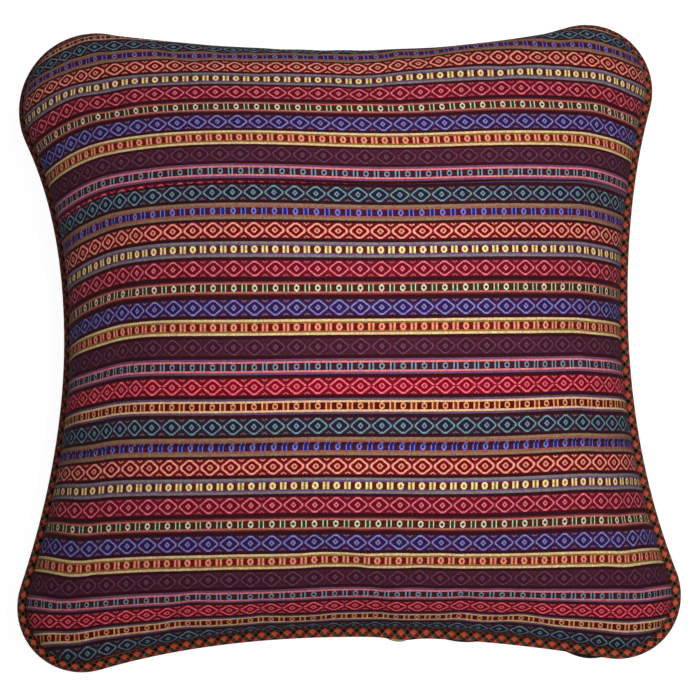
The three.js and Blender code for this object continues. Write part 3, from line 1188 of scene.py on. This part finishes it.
class PILLOW_OT_folded_end(bpy.types.Operator):
    """Builds the folded end of the piping's strip, a thin shell round the outside of the lap"""

    bl_idname = "pillow.folded_end"
    bl_label = "Folded end"

    def execute(self, context):
        shape = context.scene.pillow_cushion
        cord = context.scene.pillow_piping
        rows = 25
        columns = 21
        fold = cord.fold_length / MM
        places = np.linspace(0, fold, rows)

        # The turns of the seam where the fold lies, read off the lower side between its corners.
        fine = np.linspace(0.2, 0.8, 2401)
        from_middle = cord.lap_place / MM - fold * 0.75 + places
        turns = np.interp(from_middle, seam_plan(fine)[:, 0], fine)
        centre, outward, radius = cord_line(turns, shape, cord)[:3]

        # Round the cord in degrees from its outer side, upwards first. The shell is thickest in between.
        angles = np.radians(np.linspace(25, -150, columns))
        rise = cord.fold_thickness / MM * np.sin(np.linspace(0, np.pi, rows)) ** 0.5
        bulge = np.sin(np.linspace(0.15, 0.95, columns) * np.pi) ** 0.5
        outer = tube_points(centre, outward, radius[:, None] + 0.05 + rise[:, None] * bulge, angles)
        inner = tube_points(centre, outward, radius[:, None] - 0.3, angles)
        loops = np.concatenate([outer, inner[:, ::-1]], axis=1)
        numbers = np.arange(rows * 2 * columns).reshape(rows, -1)
        quads = [grid_quads(np.pad(numbers, ((0, 0), (0, 1)), mode="wrap"))]
        for row in (numbers[0], numbers[-1]):
            quads.append(grid_quads(np.stack([row[:columns], row[columns:][::-1]])))
        points = loops.reshape(-1, 3) - plan_middle(shape, cord)
        mesh = new_mesh("piping_folded_end", points * MM, np.concatenate(quads))
        spots = np.stack(np.broadcast_arrays(places[:, None], np.arange(2 * columns) * 0.5), axis=-1)
        set_cloth(mesh, spots.reshape(-1, 2)[corner_points(mesh)] + np.array(FOLD_CLOTH))
        shell = bmesh.new()
        shell.from_mesh(mesh)
        bmesh.ops.recalc_face_normals(shell, faces=shell.faces)
        shell.to_mesh(mesh)
        shell.free()
        new_piece("piping_folded_end", mesh, [folded_end_cloth()])
        return {"FINISHED"}


class PILLOW_OT_stage(bpy.types.Operator):
    """Sets up the camera, the floor and soft studio light"""

    bl_idname = "pillow.stage"
    bl_label = "Stage"

    def execute(self, context):
        scene = context.scene
        stage = scene.pillow_stage
        shape = scene.pillow_cushion
        middle = plan_middle(shape, scene.pillow_piping)
        aim = Vector((-middle[0] * MM, -middle[1] * MM, shape.seam_height))
        camera = placed("camera", bpy.data.cameras.new("camera"))
        camera.data.lens = stage.lens
        camera.data.sensor_width = 36
        tilt = stage.tilt
        camera.location = aim + stage.distance * Vector((0, -math.sin(tilt), math.cos(tilt)))
        turned = Matrix.Rotation(tilt, 3, "X") @ Matrix.Rotation(-stage.roll, 3, "Z")
        camera.rotation_euler = turned.to_euler()
        scene.camera = camera

        # A round floor of paper half a millimetre below the pillow, turned up into a wall far off.
        bend = np.linspace(0, math.pi / 2, 9)
        reach = stage.floor_radius + np.append(np.sin(bend), 1)
        rise = np.append(1 - np.cos(bend), stage.wall_height) - 0.0005
        turn = np.linspace(0, 2 * math.pi, 73)[:-1]
        flat = reach[:, None, None] * np.stack([np.cos(turn), np.sin(turn)], axis=-1)
        height = np.broadcast_to(rise[:, None, None], (*flat.shape[:2], 1))
        rings = np.concatenate([flat, height], axis=-1)
        numbers = np.arange(rings.size // 3).reshape(len(reach), len(turn))
        wall = grid_quads(np.pad(numbers, ((0, 0), (0, 1)), mode="wrap"))[:, ::-1]
        floor_mesh = bpy.data.meshes.new("floor")
        floor_mesh.from_pydata(rings.reshape(-1, 3).tolist(), [], [numbers[0].tolist(), *wall.tolist()])
        floor = placed("floor", floor_mesh)
        floor.visible_diffuse = False
        paper = bpy.data.materials.new("floor_paper")
        paper.use_nodes = True
        inputs = paper.node_tree.nodes["Principled BSDF"].inputs
        inputs["Base Color"].default_value = (0.3, 0.3, 0.3, 1)
        inputs["Roughness"].default_value = 0.9
        inputs["Specular IOR Level"].default_value = 0
        inputs["Emission Color"].default_value = (1, 1, 1, 1)
        inputs["Emission Strength"].default_value = 0.95
        floor_mesh.materials.append(paper)

        key = placed("key_light", bpy.data.lights.new("key_light", "AREA"))
        key.data.shape = "RECTANGLE"
        key.data.size = stage.key_width
        key.data.size_y = stage.key_length
        key.data.energy = stage.key_power
        key.location = KEY_PLACE
        key.visible_camera = False
        world = bpy.data.worlds.new("studio")
        world.use_nodes = True
        sky = world.node_tree.nodes["Background"].inputs
        sky[0].default_value = (1, 1, 1, 1)
        sky[1].default_value = stage.sky
        scene.world = world
        scene.view_settings.view_transform = "Standard"
        return {"FINISHED"}


OPERATORS = [PILLOW_OT_stage, PILLOW_OT_cushion, PILLOW_OT_piping, PILLOW_OT_folded_end]
SETTINGS = {
    "pillow_cushion": CushionSettings,
    "pillow_piping": PipingSettings,
    "pillow_stage": StageSettings,
}


class PILLOW_PT_panel(bpy.types.Panel):
    """Lists the settings and the operators in the sidebar"""

    bl_idname = "PILLOW_PT_panel"
    bl_label = "Throw pillow"
    bl_space_type = "VIEW_3D"
    bl_region_type = "UI"
    bl_category = "Pillow"

    def draw(self, context):
        for group, kind in SETTINGS.items():
            box = self.layout.box()
            for name in kind.__annotations__:
                box.prop(getattr(context.scene, group), name)
        for operator in OPERATORS:
            self.layout.operator(operator.bl_idname)


CLASSES = [*SETTINGS.values(), *OPERATORS, PILLOW_PT_panel]


def register():
    for item in CLASSES:
        bpy.utils.register_class(item)
    for group, kind in SETTINGS.items():
        setattr(bpy.types.Scene, group, bpy.props.PointerProperty(type=kind))


def unregister():
    for group in SETTINGS:
        delattr(bpy.types.Scene, group)
    for item in reversed(CLASSES):
        bpy.utils.unregister_class(item)


def main():
    register()
    bpy.ops.pillow.stage()
    bpy.ops.pillow.cushion()
    bpy.ops.pillow.piping()
    bpy.ops.pillow.folded_end()


if __name__ == "__main__":
    main()
